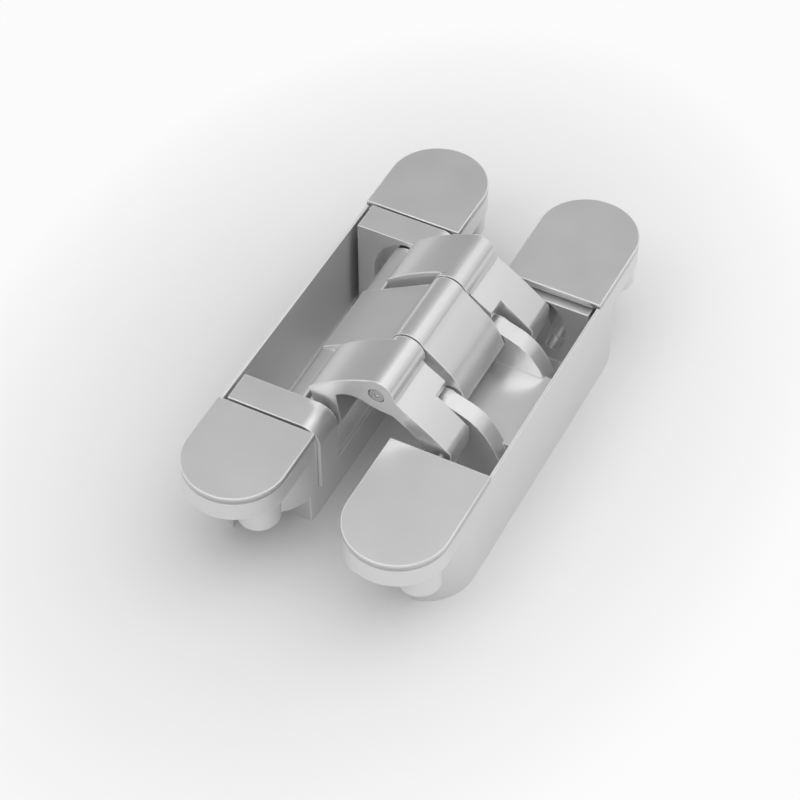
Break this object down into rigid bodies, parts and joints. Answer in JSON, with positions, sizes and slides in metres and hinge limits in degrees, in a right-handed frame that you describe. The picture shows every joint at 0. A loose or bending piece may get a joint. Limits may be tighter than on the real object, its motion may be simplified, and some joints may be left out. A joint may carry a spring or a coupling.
{
  "type": "concealed hinge",
  "caption": "Concealed door hinge lying open: round-ended housings joined by arched folding arms that swing shut into their wells.",
  "frame": {"origin": "midway between the housings and halfway along them, at the level of their backs", "axes": "+X from the frame housing to the leaf housing, +Y along the housings, +Z out of the covers"},
  "size_m": [0.0628, 0.12, 0.0389],
  "materials": {
    "housing": "satin silver coating on a zinc casting",
    "cover": "satin silver coating",
    "carriage": "satin silver coating on a zinc casting",
    "arm": "satin silver coating on a casting",
    "pin": "turned steel",
    "glide": "matt moulded plastic",
    "screw": "plated steel"
  },
  "bodies": {
    "frame": {"frame_shell": "housing", "frame_cover_front": "cover", "frame_cover_rear": "cover", "frame_carriage": "carriage", "frame_pivot_pin_front": "pin", "frame_pivot_pin_rear": "pin", "frame_clamp_screw_front": "screw", "frame_clamp_screw_rear": "screw", "frame_eccentric_front": "screw", "frame_eccentric_rear": "screw"},
    "outer_arm": {"outer_arm_front": "arm", "outer_arm_rear": "arm", "centre_pin": "pin", "slide_pin_front": "pin", "slide_pin_rear": "pin", "outer_glide_front": "glide", "outer_glide_rear": "glide", "knuckle_washer_front": "glide", "knuckle_washer_rear": "glide"},
    "inner_arm": {"inner_arm": "arm", "inner_glide_front": "glide", "inner_glide_rear": "glide"},
    "leaf": {"leaf_shell": "housing", "leaf_cover_front": "cover", "leaf_cover_rear": "cover", "leaf_carriage": "carriage", "leaf_pivot_pin": "pin", "leaf_clamp_screw_front": "screw", "leaf_clamp_screw_rear": "screw", "leaf_eccentric_front": "screw", "leaf_eccentric_rear": "screw"}
  },
  "joints": [
    {"name": "frame_pivot", "type": "hinge", "parent": "frame", "child": "outer_arm", "pos_m": [-0.00933, 0, 0.02199], "axis": [0, -1, 0], "range_deg": [0, 116]},
    {"name": "knuckle", "type": "hinge", "parent": "outer_arm", "child": "inner_arm", "pos_m": [0.0024, 0, 0.0346], "axis": [0, -1, 0], "range_deg": [-41, 0]},
    {"name": "leaf_pivot", "type": "hinge", "parent": "inner_arm", "child": "leaf", "pos_m": [0.01272, 0, 0.02382], "axis": [0, -1, 0], "range_deg": [0, 105]}
  ],
  "couplings": [
    {"joint": "knuckle", "follows": "frame_pivot", "ratio": -0.35345},
    {"joint": "leaf_pivot", "follows": "frame_pivot", "ratio": 0.90517}
  ]
}
